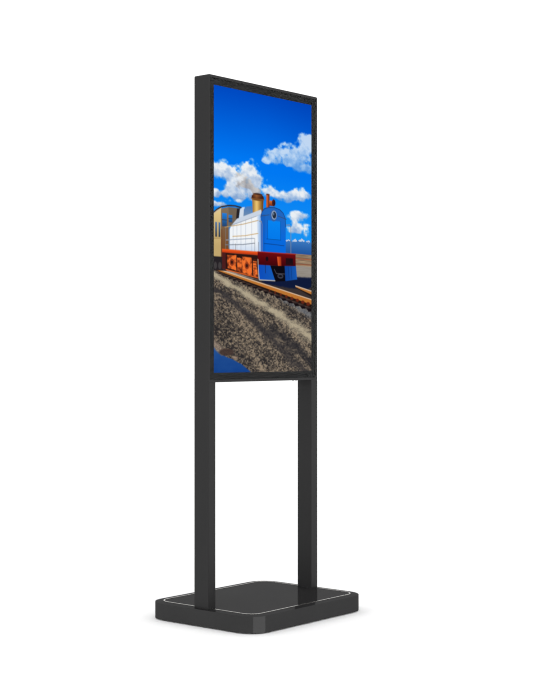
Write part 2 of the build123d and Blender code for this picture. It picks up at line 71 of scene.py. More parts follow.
# ------------------------------------------------------------------ materials
class Finish:
    """A node material in the making. Patterns lie in metres, in the row frame."""

    def __init__(self, name):
        self.material = bpy.data.materials.new(name)
        self.material.use_nodes = True
        self.tree = self.material.node_tree
        self.tree.nodes.clear()
        self.place = self.add("TexCoord").outputs["Object"]

    def add(self, kind, inputs=(), **settings):
        node = self.tree.nodes.new("ShaderNode" + kind)
        for name, value in settings.items():
            setattr(node, name, value)
        for name, value in dict(inputs).items():
            if isinstance(value, bpy.types.NodeSocket):
                self.tree.links.new(value, node.inputs[name])
            else:
                node.inputs[name].default_value = value
        return node

    def noise(self, scale, detail=3.0, stretch=None):
        place = self.place
        if stretch:
            place = self.add("Mapping", {"Vector": place, "Scale": stretch}).outputs[0]
        texture = self.add("TexNoise", {"Vector": place, "Scale": scale, "Detail": detail})
        return texture.outputs[0]

    def cells(self, scale, feature="F1"):
        texture = self.add("TexVoronoi", {"Vector": self.place, "Scale": scale}, feature=feature)
        return texture.outputs["Distance"]

    def span(self, value, low, high, start=0.3, end=0.7):
        """value from start to end becomes low to high."""
        inputs = {"Value": value, "From Min": start, "From Max": end, "To Min": low, "To Max": high}
        return self.add("MapRange", inputs).outputs[0]

    def maths(self, operation, *values):
        node = self.add("Math", operation=operation)
        for socket, value in zip(node.inputs, values):
            if isinstance(value, bpy.types.NodeSocket):
                self.tree.links.new(value, socket)
            else:
                socket.default_value = value
        return node.outputs[0]

    def tint(self, value, low, high, start=0.3, end=0.7):
        """value from start to end becomes the colour low to the colour high."""
        ramp = self.add("ValToRGB", {"Fac": value})
        for element, position, colour in zip(ramp.color_ramp.elements, (start, end), (low, high)):
            element.position = position
            element.color = (*colour, 1.0)
        return ramp.outputs["Color"]

    def bump(self, height, distance, strength):
        """Lets height, from 0 to 1, stand for distance metres of relief."""
        inputs = {"Height": height, "Distance": distance, "Strength": strength}
        return self.add("Bump", inputs).outputs["Normal"]

    def done(self, shader):
        self.add("OutputMaterial", {"Surface": shader.outputs[0]})
        return self.material


def shades(colour, spread):
    """The colour a little darker and a little lighter."""
    return [tuple(min(1.0, c * (1 + k * spread)) for c in colour) for k in (-1, 1)]


def powder_coat(name, colour, roughness, specular, blotch=0.05):
    """Satin paint with the fine grain of a powder coat."""
    f = Finish(name)
    low, high = shades(colour, blotch)
    mottle = f.maths("MULTIPLY_ADD", f.noise(900, 2), 0.5, 0.25)
    shader = f.add("BsdfPrincipled", {
        "Base Color": f.tint(f.maths("MULTIPLY", mottle, f.span(f.noise(5), 0.8, 1.2)), low, high),
        "Roughness": f.span(f.noise(45, 5), roughness - 0.02, roughness + 0.02),
        "Specular IOR Level": specular,
        "Normal": f.bump(f.noise(1100, 2), 0.00003, 0.5),
    })
    return f.done(shader)


def mirror_coat(name):
    """The base's coat: near-black, and just glossy enough to mirror the posts."""
    f = Finish(name)
    low, high = shades((0.0182, 0.018, 0.0183), 0.07)
    under = f.add("BsdfPrincipled", {
        "Base Color": f.tint(f.noise(420, 3), low, high),
        "Roughness": f.span(f.noise(30, 5), 0.55, 0.7),
        "Specular IOR Level": 0.0,
        "Normal": f.bump(f.noise(900, 2), 0.00002, 0.4),
    })
    over = f.add("BsdfAnisotropic", {
        "Color": (0.95, 0.95, 0.95, 1.0),
        "Roughness": f.span(f.noise(60, 5), 0.02, 0.07),
        "Normal": f.bump(f.noise(500, 2), 0.000004, 0.5),
    })
    grazing = f.add("Fresnel", {"IOR": 1.03}).outputs[0]
    share = f.maths("MULTIPLY_ADD", grazing, 0.17, f.span(f.noise(9, 6), 0.0195, 0.0225))
    mix = f.add("MixShader", {"Fac": share})
    f.tree.links.new(under.outputs[0], mix.inputs[1])
    f.tree.links.new(over.outputs[0], mix.inputs[2])
    return f.done(mix)


def bare_metal(name, colour, roughness, stretch=None, scale=250.0):
    """Bright metal. stretch draws its fine marks out into brushed lines."""
    f = Finish(name)
    low, high = shades(colour, 0.08)
    lines = f.noise(scale, 4, stretch)
    shader = f.add("BsdfPrincipled", {
        "Base Color": f.tint(f.noise(scale / 6, 4), low, high),
        "Metallic": 1.0,
        "Roughness": f.span(lines, roughness * 0.75, min(1.0, roughness * 1.3)),
        "Normal": f.bump(lines, 0.00001, 0.6),
    })
    return f.done(shader)


def zinc(name, colour, roughness):
    """Zinc plate, with its faint crystal cells."""
    f = Finish(name)
    low, high = shades(colour, 0.16)
    spangle = f.cells(160)
    shader = f.add("BsdfPrincipled", {
        "Base Color": f.tint(spangle, low, high, 0.1, 0.8),
        "Metallic": 1.0,
        "Roughness": f.span(f.noise(300), roughness * 0.8, roughness * 1.25),
        "Normal": f.bump(f.noise(700, 2), 0.00002, 0.4),
    })
    return f.done(shader)


def moulded(name, colour, roughness=0.5, grain=1400.0, specular=0.4):
    """Moulded plastic or rubber with a spark-eroded grain."""
    f = Finish(name)
    low, high = shades(colour, 0.1)
    pits = f.cells(grain)
    shader = f.add("BsdfPrincipled", {
        "Base Color": f.tint(f.noise(120, 4), low, high),
        "Roughness": f.span(f.noise(70, 4), roughness * 0.85, roughness * 1.15),
        "Specular IOR Level": specular,
        "Normal": f.bump(pits, 0.00003, 0.6),
    })
    return f.done(shader)


def circuit_board(name):
    """Green solder resist over copper tracks."""
    f = Finish(name)
    tracks = f.cells(130, "DISTANCE_TO_EDGE")
    shader = f.add("BsdfPrincipled", {
        "Base Color": f.tint(tracks, (0.03, 0.16, 0.06), (0.008, 0.06, 0.025), 0.02, 0.09),
        "Roughness": f.span(f.noise(200), 0.28, 0.42),
        "Normal": f.bump(f.span(tracks, 0.0, 1.0, 0.02, 0.09), 0.00004, 0.5),
    })
    return f.done(shader)


def perforated(name, colour):
    """Zinc sheet with rows of punched vents, for the supply's cage; the vents are painted near-black as
    painted shade of its dark inside.
    """
    f = Finish(name)
    low, high = shades(colour, 0.1)
    rings = f.add("TexVoronoi", {"Vector": f.place, "Scale": 190.0, "Randomness": 0.0})
    hole = f.span(rings.outputs["Distance"], 0.0, 1.0, 0.26, 0.32)
    sheet = f.tint(f.noise(140), low, high)
    # near-black in the vents: painted shade of the supply's inside, since the sheet has no real holes
    sheet_and_painted_vent_shade = f.add("Mix", data_type="RGBA")
    f.tree.links.new(hole, sheet_and_painted_vent_shade.inputs[0])
    sheet_and_painted_vent_shade.inputs[6].default_value = (0.006, 0.006, 0.006, 1.0)
    f.tree.links.new(sheet, sheet_and_painted_vent_shade.inputs[7])
    shader = f.add("BsdfPrincipled", {
        "Base Color": sheet_and_painted_vent_shade.outputs[2],
        "Metallic": f.span(hole, 0.0, 0.9, 0.0, 1.0),
        "Roughness": f.span(f.noise(260), 0.32, 0.46),
        "Normal": f.bump(hole, 0.0004, 0.6),
    })
    return f.done(shader)


def printed_ink(name):
    """The matt black print seen through the glass."""
    f = Finish(name)
    specks = f.noise(2200, 2)
    shader = f.add("BsdfPrincipled", {
        "Base Color": f.tint(specks, (0.0240, 0.0238, 0.0242), (0.0280, 0.0277, 0.0280)),
        "Roughness": f.span(f.noise(80, 4), 0.5, 0.65),
        "Specular IOR Level": 0.0,
        "Normal": f.bump(specks, 0.000005, 0.3),
    })
    return f.done(shader)


def touch_glass(name):
    """Coated glass: clear from the front, a mirror at a flat angle, with a trace of wiping."""
    f = Finish(name)
    clear = f.add("BsdfTransparent", {"Color": (0.985, 0.99, 0.987, 1.0)})
    wipes = f.noise(14, 6, (1.0, 1.0, 0.35))
    mirror = f.add("BsdfAnisotropic", {
        "Color": (0.96, 0.98, 1.0, 1.0),
        "Roughness": f.span(wipes, 0.02, 0.09),
    })
    edge_on = f.add("Fresnel", {"IOR": 1.06}).outputs[0]
    inner = f.add("NewGeometry").outputs["Backfacing"]
    coated = f.span(edge_on, 0.0, 0.9, 0.02, 0.9)
    share = f.maths("MULTIPLY", coated, f.maths("SUBTRACT", 1.0, inner))
    mix = f.add("MixShader", {"Fac": share})
    f.tree.links.new(clear.outputs[0], mix.inputs[1])
    f.tree.links.new(mirror.outputs[0], mix.inputs[2])
    return f.done(mix)


def polariser(name):
    """The dark film on the front of the display, seen only where no picture is."""
    f = Finish(name)
    shader = f.add("BsdfPrincipled", {
        "Base Color": f.tint(f.noise(600, 2), (0.006, 0.006, 0.008), (0.010, 0.010, 0.013)),
        "Roughness": f.span(f.noise(900, 2), 0.25, 0.34),
        "Normal": f.bump(f.noise(2600, 2), 0.000004, 0.4),
    })
    return f.done(shader)


RASTER = 2040.0                   # display dots to the metre


def glowing_picture(name):
    """Shows the colours that the picture's mesh carries, over a barely visible pixel raster."""
    f = Finish(name)
    colours = f.add("Attribute", attribute_name="picture", attribute_type="GEOMETRY")
    raster = f.add("TexVoronoi", {"Vector": f.place, "Scale": RASTER, "Randomness": 0.0})
    level = f.span(raster.outputs["Distance"], 1.02, 0.98, 0.0, 0.7)
    material = f.done(f.add("Emission", {"Color": colours.outputs["Color"], "Strength": level}))
    material.cycles.emission_sampling = "NONE"
    return material


def sensor_lens(name):
    """The sensor's eye: black and smooth, with rings of a moulded lens."""
    f = Finish(name)
    rings = f.noise(1500, 2)
    shader = f.add("BsdfPrincipled", {
        "Base Color": f.tint(rings, (0.0012, 0.0012, 0.0016), (0.003, 0.003, 0.004)),
        "Roughness": f.span(f.noise(400), 0.08, 0.16),
        "Specular IOR Level": 0.1,
        "Normal": f.bump(rings, 0.00001, 0.3),
    })
    return f.done(shader)


def make_materials():
    """One finish for each material slot of the record."""
    along_x = (0.02, 1.0, 1.0)
    return {
        "charcoal_paint": powder_coat("charcoal_paint", (0.0202, 0.02, 0.0203), 0.5, 0.13),
        "base_paint": mirror_coat("base_paint"),
        "polished_trim": bare_metal("polished_trim", (0.50, 0.485, 0.46), 0.24, along_x, 900.0),
        "black_steel": powder_coat("black_steel", (0.018, 0.018, 0.018), 0.62, 0.3, 0.12),
        "zinc_steel": zinc("zinc_steel", (0.44, 0.45, 0.46), 0.36),
        "lock_chrome": bare_metal("lock_chrome", (0.42, 0.42, 0.43), 0.2),
        "foot_plastic": zinc("foot_plastic", (0.33, 0.33, 0.34), 0.42),
        "clear_glass": touch_glass("clear_glass"),
        "black_ink": printed_ink("black_ink"),
        "lit_screen": polariser("lit_screen"),
        "panel_case": bare_metal("panel_case", (0.55, 0.56, 0.57), 0.4, along_x, 400.0),
        "black_plastic": moulded("black_plastic", (0.022, 0.022, 0.023)),
        "brass_pins": bare_metal("brass_pins", (0.74, 0.57, 0.28), 0.22),
        "cable_jacket": moulded("cable_jacket", (0.02, 0.02, 0.02), 0.6, 2000.0),
        "supply_cage": perforated("supply_cage", (0.58, 0.59, 0.60)),
        "fin_aluminium": bare_metal("fin_aluminium", (0.46, 0.46, 0.47), 0.36, along_x, 600.0),
        "circuit_board": circuit_board("circuit_board"),
    }


def dress_nodes(materials):
    special = {"light_sensor": sensor_lens("sensor_lens")}
    for row in frame["record"]["subparts"]:
        node = frame["nodes"][row["node"]]
        if not node.material_slots:
            node.data.materials.append(None)
        for slot in node.material_slots:
            slot.material = special.get(row["node"], materials[row["material_slot"]])


# ------------------------------------------------------------------ the picture on the display
# A made-up railway scene, painted in millimetres of the lit area: u to the right, v down.
class Painter:
    """A grid of points with a colour each, in display colours from 0 to 255."""

    def __init__(self, width, height, cell):
        columns = int(round(width / cell)) + 1
        rows = int(round(height / cell)) + 1
        self.u, self.v = np.meshgrid(np.linspace(0, width, columns), np.linspace(0, height, rows))
        self.cell = cell
        self.rgb = np.zeros(self.u.shape + (3,))

    def noise(self, size_u, size_v, seed, octaves=4, u=None, v=None):
        """Smooth noise from -1 to 1 with features of that size."""
        u = self.u if u is None else u
        v = self.v if v is None else v
        total = np.zeros(self.u.shape)
        weight = 0.0
        for k in range(octaves):
            lattice = np.random.RandomState(seed + k).rand(64, 64)
            a = u / size_u * 2 ** k + 17.3 * k
            b = v / size_v * 2 ** k + 5.1 * k
            i = np.floor(a).astype(int)
            j = np.floor(b).astype(int)
            s = a - i
            t = b - j
            s = s * s * (3 - 2 * s)
            t = t * t * (3 - 2 * t)
            near = lattice[j % 64, i % 64] * (1 - s) + lattice[j % 64, (i + 1) % 64] * s
            far = lattice[(j + 1) % 64, i % 64] * (1 - s) + lattice[(j + 1) % 64, (i + 1) % 64] * s
            total += (near * (1 - t) + far * t) * 0.5 ** k
            weight += 0.5 ** k
        return total / weight * 2 - 1

    def put(self, cover, colour):
        """Lays a colour over the points, from not at all where cover is 0 to fully where it is 1."""
        cover = np.clip(cover, 0, 1)[..., None]
        self.rgb = self.rgb * (1 - cover) + np.asarray(colour, float) * cover

    def grade(self, low, high, share):
        """A colour for each point, from low to high as share goes from 0 to 1."""
        share = np.clip(share, 0, 1)[..., None]
        return np.asarray(low, float) * (1 - share) + np.asarray(high, float) * share

    def away(self, points, closed=True):
        """Distance from each point to a line of points."""
        best = np.full(self.u.shape, 1e9)
        ends = list(zip(points, points[1:] + points[:1])) if closed else list(zip(points, points[1:]))
        for (u0, v0), (u1, v1) in ends:
            du, dv = u1 - u0, v1 - v0
            along = np.clip(((self.u - u0) * du + (self.v - v0) * dv) / (du * du + dv * dv), 0, 1)
            best = np.minimum(best, np.hypot(self.u - u0 - along * du, self.v - v0 - along * dv))
        return best

    def shape(self, points, colour, soft=0.6, warp=0.0, seed=1):
        """A filled outline with soft edges, roughened by warp millimetres."""
        inside = np.zeros(self.u.shape, bool)
        for (u0, v0), (u1, v1) in zip(points, points[1:] + points[:1]):
            if v0 == v1:
                continue
            crossing = (self.v > v0) != (self.v > v1)
            inside ^= crossing & (self.u < u0 + (self.v - v0) * (u1 - u0) / (v1 - v0))
        distance = self.away(points) * np.where(inside, 1, -1)
        if warp:
            distance = distance + warp * self.noise(14, 14, seed)
        self.put(0.5 + distance / (2 * soft * self.cell), colour)

    def stroke(self, points, width, colour):
        """An open line of that width through the points."""
        distance = width / 2 - self.away(points, False)
        self.put(0.5 + distance / (1.2 * self.cell), colour)

    def oval(self, u, v, half_u, half_v, colour, soft=0.6):
        radius = np.hypot((self.u - u) / half_u, (self.v - v) / half_v)
        self.put(0.5 + (1 - radius) * min(half_u, half_v) / (2 * soft * self.cell), colour)

    def box(self, u0, v0, u1, v1, colour):
        self.shape([(u0, v0), (u1, v0), (u1, v1), (u0, v1)], colour)

    def cloud(self, lobes, light, shade, seed, density=1.0):
        """Billows where the lobes (u, v, half width, half height) are, lit from above."""
        ragged = self.noise(44, 30, seed, 6)
        body = np.zeros(self.u.shape)
        low = np.zeros(self.u.shape)
        for u, v, half_u, half_v in lobes:
            lobe = np.exp(-1.2 * (((self.u - u) / half_u) ** 2 + ((self.v - v) / half_v) ** 2))
            body += lobe
            low += lobe * (self.v - v) / half_v
        cover = np.clip((np.minimum(body, 1.2) - 0.42 + 1.1 * ragged * np.clip(3 * body, 0, 1)) / 0.42, 0, 1)
        billow = self.noise(24, 16, seed + 20, 5)
        dark = 0.3 + 0.7 * low / np.maximum(body, 0.3) + 0.8 * billow
        self.put(cover * density, self.grade(light, shade, dark))


def paint_picture(width, height, cell):
    p = Painter(width, height, cell)
    paint_sky(p)
    paint_ground(p)
    paint_track(p)
    paint_engine(p)
    return p.rgb


def paint_sky(p):
    high = p.grade((0, 74, 196), (0, 122, 247), p.v / 230)
    p.put(np.ones(p.u.shape), p.grade(high, (26, 152, 248), (p.v - 260) / 240))
    p.put(0.16 * np.clip(p.u / 265 - 1, 0, 1) * np.clip(1 - p.v / 300, 0, 1), (0, 44, 150))
    p.cloud([(508, 148, 54, 64), (450, 180, 66, 44), (380, 192, 66, 34), (318, 206, 56, 28),
             (268, 226, 42, 14), (424, 216, 84, 20), (512, 216, 42, 24)],
            (222, 234, 250), (112, 164, 226), 3, 0.88)
    p.cloud([(30, 274, 66, 28), (108, 290, 82, 48), (190, 274, 54, 52), (150, 330, 92, 38),
             (60, 352, 84, 15)], (238, 242, 248), (138, 170, 214), 11)
    p.cloud([(278, 314, 54, 28), (360, 334, 62, 18), (440, 326, 62, 24), (512, 320, 52, 26)],
            (238, 242, 248), (122, 164, 218), 27)
    p.cloud([(430, 402, 50, 22), (484, 392, 32, 12), (440, 438, 52, 26), (504, 450, 52, 22)],
            (238, 242, 248), (140, 174, 220), 41)
    p.cloud([(34, 388, 58, 11), (110, 372, 60, 9)], (224, 230, 240), (120, 158, 210), 52)
    p.cloud([(128, 300, 54, 22), (178, 318, 46, 17), (214, 332, 26, 11)],
            (206, 200, 196), (146, 142, 146), 60, 0.85)
    ridge = [(340, 500), (376, 490), (398, 482), (414, 488), (436, 478), (452, 484), (474, 474),
             (496, 484), (514, 480), (532, 488), (532, 536), (340, 536)]
    p.shape(ridge, p.grade((66, 128, 200), (34, 88, 162), (p.v - 476) / 50), warp=4, seed=5)
    snow = 486 + 6 * p.noise(40, 400, 71) + 7 * p.noise(9, 7, 72, 3)
    p.put((p.v < snow) * (p.v > 470) * (p.rgb[..., 0] < 108) * (p.rgb[..., 2] < 210) * 0.85, (218, 226, 240))


def paint_ground(p):
    p.box(-5, 531, 540, 960, (126, 118, 108))
    far = p.noise(60, 3, 70, 3)
    p.put((p.v > 531) * (p.v < 575), p.grade((172, 146, 118), (112, 90, 74), 0.4 + 0.7 * far))
    p.put((p.v > 572) * (p.v < 642), p.grade((158, 152, 146), (138, 128, 118), 0.4 + 0.5 * far))
    p.stroke([(380, 546), (540, 548)], 3, (168, 92, 60))
    p.stroke([(440, 566), (540, 567)], 3, (150, 84, 58))
    # gravel: the grain grows towards the viewer
    depth = 5200 / np.maximum(p.v - 470, 60)
    across = (p.u - 265) * depth / 30
    stones = p.noise(3.4, 1.3, 80, 2, across + 400, depth * 9)
    grain = np.random.RandomState(9).rand(*p.u.shape) * 2 - 1
    patch = p.noise(90, 34, 90, 4, p.u + 0.6 * p.v, p.v - 0.42 * p.u + 400)
    near = p.v > 600 + 0.19 * p.u
    pebbles = p.noise(7, 4.4, 86, 2)
    tone = 0.46 + 0.24 * stones + 0.75 * pebbles + 0.2 * grain + 0.42 * patch
    p.put(near, p.grade((46, 43, 44), (152, 135, 115), tone))
    warm = np.random.RandomState(12).rand(*p.u.shape) > 0.985
    p.put(near * warm * 0.6, (196, 168, 122))

    def lane(points, width, colour, strength, seed):
        reach = p.away(points, False) / (width * (0.35 + (p.v - 560) / 300))
        ragged = p.noise(34, 12, seed, 5)
        p.put(near * strength * np.clip(1.15 - reach + 0.75 * ragged + 0.2 * grain, 0, 1), colour)
    lane([(-20, 612), (120, 662), (330, 738), (560, 836)], 20, (188, 174, 148), 0.9, 101)
    lane([(-20, 658), (90, 700), (230, 780), (420, 900), (520, 960)], 16, (48, 46, 50), 0.75, 108)
    lane([(300, 790), (430, 850), (560, 930)], 17, (36, 36, 42), 0.75, 115)
    lane([(180, 632), (330, 676), (540, 748)], 16, (112, 116, 124), 0.7, 122)
    pool = [(-5, 846), (20, 862), (46, 884), (96, 898), (140, 914), (206, 948), (-5, 948)]
    sky_in_pool = p.grade((40, 84, 150), (22, 66, 138), (p.v - 850) / 90 + 0.3 * p.noise(40, 12, 130))
    p.shape(pool, sky_in_pool, warp=3, seed=8)
    p.shape([(-5, 828), (30, 850), (60, 876), (40, 884), (-5, 858)],
            p.grade((168, 150, 132), (104, 90, 82), 0.5 + 0.5 * grain), soft=2, warp=4, seed=14)
    p.oval(64, 874, 38, 12, p.grade((84, 66, 58), (56, 46, 46), 0.5 + 0.5 * grain), 1.2)
    p.oval(108, 892, 14, 4, (150, 128, 112), 1)


def paint_track(p):
    def rail(ends, widths, colours):
        (u0, v0), (u1, v1) = ends
        top = [(u0, v0), (u1, v1), (u1, v1 + widths[1]), (u0, v0 + widths[0])]
        p.shape([(u, v + 0.5 * widths[1] * (u - u0) / (u1 - u0) + 2) for u, v in top], (34, 22, 20))
        p.shape(top, colours[0])
        p.stroke([(u0, v0 + 1), (u1, v1 + 1)], 3, colours[1])
    p.shape([(120, 622), (250, 628), (540, 640), (540, 704), (300, 660)], (58, 50, 50), 3, warp=4, seed=19)
    # sleepers, getting wider apart towards the right
    for k in range(19):
        t = (k / 18) ** 1.4
        u = 30 + 520 * t
        v = 612 + 100 * t
        long = 16 + 46 * t
        thick = 3 + 9 * t
        p.shape([(u - long, v), (u + long * 0.2, v - thick * 0.3),
                 (u + long * 0.5, v + thick * 1.2), (u - long * 0.6, v + thick * 1.6)],
                p.grade((84, 66, 60), (20, 14, 18), (p.v - v) / thick), warp=1.5, seed=150 + k)
    p.shape([(240, 626), (448, 612), (540, 610), (540, 642), (500, 654), (400, 652), (262, 640)],
            (16, 26, 58), soft=1.5, warp=2, seed=17)
    rail([(438, 642), (545, 660)], (5, 14), ((190, 122, 56), (216, 196, 176)))
    rail([(-5, 596), (545, 690)], (6, 19), ((190, 118, 50), (222, 196, 170)))
    for k in range(9):
        t = k / 8
        p.oval(292 + 250 * t, 664 + 46 * t, 4 + 8 * t, 3 + 4 * t, (104, 40, 24), 1)


def paint_engine(p):
    # the coach and the cab
    p.shape([(-5, 418), (38, 398), (40, 560), (-5, 564)],
            p.grade((232, 206, 146), (196, 168, 112), (p.v - 400) / 90 - 0.4 * (p.v > 500)))
    p.shape([(36, 402), (76, 394), (76, 560), (36, 562)],
            p.grade((132, 114, 92), (120, 74, 40), (p.v - 400) / 140))
    p.shape([(74, 394), (136, 394), (124, 440), (78, 460)], (112, 98, 84))
    p.shape([(118, 396), (134, 394), (126, 436), (112, 440)], (38, 34, 40))
    p.stroke([(-5, 420), (16, 406), (38, 396), (76, 389), (110, 388), (140, 391)], 5, (52, 42, 38))
    p.stroke([(-5, 424), (16, 411), (36, 403)], 3, (206, 190, 168))
    for u0, v0, u1, v1 in ((42, 416, 66, 460), (75, 420, 94, 444)):
        p.box(u0, v0, u1, v1, p.grade((30, 128, 226), (40, 70, 110), (p.v - v0) / (v1 - v0)))
        p.stroke([(u0, (v0 + v1) / 2), (u1, (v0 + v1) / 2)], 2, (60, 50, 44))
    for u0 in (7, 24):
        p.box(u0, 448, u0 + 9, 496, p.grade((80, 120, 170), (50, 56, 66), (p.v - 448) / 48))
    p.stroke([(-5, 502), (38, 500)], 2.5, (170, 140, 90))
    p.box(38, 470, 42, 560, (110, 60, 36))
    p.box(-5, 560, 66, 606, (38, 34, 38))
    for u in (8, 30, 52):
        p.oval(u, 590, 8, 12, (66, 62, 64))
    # boxes, chimney and horn on the hood
    p.shape([(126, 446), (134, 398), (146, 390), (158, 388), (152, 438)], (214, 224, 238))
    p.shape([(150, 436), (154, 396), (166, 386), (196, 382), (196, 428)],
            p.grade((74, 124, 190), (120, 146, 176), (p.v - 384) / 40))
    round_side = np.abs((p.u - 222) / 32)
    p.shape([(198, 350), (260, 350), (257, 402), (200, 414)],
            p.grade((236, 194, 112), (116, 74, 30), round_side * 1.1 - 0.1))
    p.oval(228, 356, 34, 6, (124, 78, 40))
    p.shape([(196, 346), (208, 338), (248, 338), (260, 346), (262, 354), (194, 354)],
            p.grade((150, 92, 50), (66, 32, 22), round_side + 0.2 * (p.v - 345) / 5))
    p.oval(228, 339, 22, 3, (66, 40, 34))
    p.box(274, 336, 292, 382, p.grade((214, 104, 44), (86, 32, 20), np.abs((p.u - 279) / 13)))
    p.oval(283, 336, 9, 2.5, (90, 44, 30))
    p.box(290, 356, 314, 374, p.grade((224, 118, 50), (122, 48, 24), (p.v - 356) / 18))
    p.oval(315, 362, 10, 12, (72, 30, 32))
    p.oval(318, 363, 5, 7, (40, 26, 34))
    # hood
    side = p.grade((246, 248, 252), (196, 214, 240), (p.v - 500) / 50 + 0.15 * p.noise(60, 40, 200))
    p.shape([(78, 534), (78, 470), (92, 452), (248, 402), (252, 534)], side)
    p.shape([(92, 452), (118, 430), (246, 390), (250, 404)], (206, 216, 232))
    p.stroke([(92, 453), (248, 406)], 2, (140, 150, 168))
    for u in (98, 118, 139, 164, 196):
        p.stroke([(u, 452 - (u - 92) * 0.3), (u, 532)], 1.6, (158, 170, 194))
    p.shape([(222, 414), (250, 404), (252, 534), (230, 534)],
            p.grade((226, 234, 248), (120, 168, 226), (p.u - 224) / 26))
    nose = [(245, 534), (244, 416), (250, 398), (264, 386), (286, 380), (318, 378), (348, 383),
            (368, 394), (379, 410), (382, 440), (382, 534)]
    p.shape(nose, p.grade((34, 104, 194), (8, 106, 224), (p.v - 400) / 90))
    p.stroke(nose[1:-1], 3, (26, 62, 122))
    p.put(0.35 * (p.u > 244) * (p.u < 268) * (p.v > 404) * (p.v < 532), (20, 84, 176))
    p.box(282, 424, 353, 490, p.grade((6, 134, 246), (4, 122, 238), (p.v - 424) / 66))
    for line in ([(282, 424), (282, 488)], [(353, 424), (353, 488)], [(276, 488), (354, 488)]):
        p.stroke(line, 1.6, (10, 62, 130))
    p.stroke([(262, 504), (372, 506)], 2, (14, 56, 118))
    p.stroke([(246, 412), (290, 405)], 2, (60, 70, 90))
    p.stroke([(340, 406), (386, 414)], 2, (60, 70, 90))
    p.oval(314, 406, 18, 20, (58, 96, 160))
    p.oval(317, 404, 14, 15, (168, 186, 210))
    p.oval(318, 404, 11, 12, (34, 44, 62))
    p.oval(314, 400, 4, 5, (96, 116, 146))
    # handrails
    for line, colour in (([(56, 462), (150, 446), (230, 428)], (196, 160, 104)),
                         ([(96, 490), (160, 484), (230, 472)], (204, 164, 100)),
                         ([(58, 520), (150, 514), (212, 506)], (120, 128, 142)),
                         ([(62, 504), (208, 490)], (148, 160, 180))):
        p.stroke(line, 2.6, colour)
    for u, v in ((60, 462), (80, 458), (212, 490), (232, 502), (110, 514)):
        p.stroke([(u, v), (u, 534)], 2, (126, 122, 122))
    p.stroke([(236, 430), (248, 430), (251, 440), (251, 552)], 3, (150, 146, 148))
    p.stroke([(386, 434), (404, 432), (411, 440), (411, 534)], 3.2, (128, 140, 158))
    # frame, front beam and machinery
    p.box(42, 534, 232, 546, p.grade((244, 98, 34), (196, 52, 16), (p.v - 534) / 12))
    p.shape([(44, 546), (230, 546), (230, 628), (120, 612), (62, 600)], (44, 22, 20))
    p.box(42, 546, 60, 600, (78, 30, 30))
    works = p.noise(14, 11, 210, 3)
    orange = p.grade((244, 116, 48), (96, 34, 20), 0.25 + 1.3 * works)
    for corners in ([(66, 552), (114, 552), (114, 602), (70, 596)],
                    [(118, 560), (142, 560), (144, 610), (120, 604)],
                    [(144, 554), (196, 556), (198, 616), (146, 610)],
                    [(202, 566), (224, 568), (226, 622), (204, 618)]):
        p.shape(corners, orange, warp=2, seed=corners[0][0])
    for u, v in ((92, 576), (170, 584)):
        p.oval(u, v, 12, 12, (150, 60, 30))
        p.oval(u, v, 6, 6, (54, 24, 20))
    for v in (562, 572, 582, 592):
        p.stroke([(206, v), (226, v + 1)], 2, (92, 36, 22))
    p.stroke([(62, 602), (228, 622)], 4, (212, 96, 40))
    p.shape([(227, 533), (438, 532), (439, 577), (228, 579)],
            p.grade((112, 12, 16), (70, 6, 12), (p.v - 534) / 40))
    p.stroke([(228, 534), (438, 533)], 3, (164, 38, 26))
    p.box(382, 548, 424, 572, (36, 14, 20))
    p.shape([(334, 546), (356, 545), (358, 584), (340, 586)],
            p.grade((240, 96, 40), (150, 44, 20), (p.u - 334) / 24))
    for u, v in ((278, 556), (411, 556)):
        p.oval(u, v, 8, 8, (26, 14, 22))
    p.shape([(292, 578), (378, 576), (384, 628), (324, 632)], (12, 10, 18))
    p.shape([(228, 578), (296, 578), (322, 628), (236, 630)],
            p.grade((12, 76, 190), (22, 92, 186), (p.u - 228) / 90))
    p.shape([(376, 576), (440, 574), (447, 620), (380, 628)],
            p.grade((14, 66, 150), (22, 90, 182), (p.u - 376) / 70))
    p.stroke([(229, 560), (232, 600), (237, 629), (322, 629)], 3, (206, 196, 176))
    for u in (396, 412):
        p.stroke([(u, 578), (u + 5, 620)], 1.8, (12, 46, 106))
    p.stroke([(318, 590), (330, 604), (376, 604)], 2, (96, 92, 102))
    p.oval(352, 612, 16, 8, (70, 72, 84))
    p.oval(352, 612, 11, 4, (16, 14, 22))
    p.stroke([(268, 566), (270, 604)], 2, (24, 20, 40))


# ------------------------------------------------------------------ pieces
PICTURE_CELL = 2.0                # millimetres between the picture's points
PICTURE_GAP = 0.00005             # the picture lies this far in front of the display
PICTURE_BLIND = 0.0093            # rim of the display around its lit area
PRINT_GAP = 0.0001                # keeps the print's face from coinciding with the glass's
SEAL_JOINT = 0.0005               # between the glass and the frame's lip
SEAL_DIP = 0.0004                 # the seal's middle lies this far behind the glass
SEAL_EDGE = 0.0001                # and its edges this far
GLASS_CORNER = 0.003


def linear(rgb):
    """Display colours from 0 to 255 as linear light."""
    c = np.clip(rgb, 0, 255) / 255
    return np.where(c <= 0.04045, c / 12.92, ((c + 0.055) / 1.055) ** 2.4)


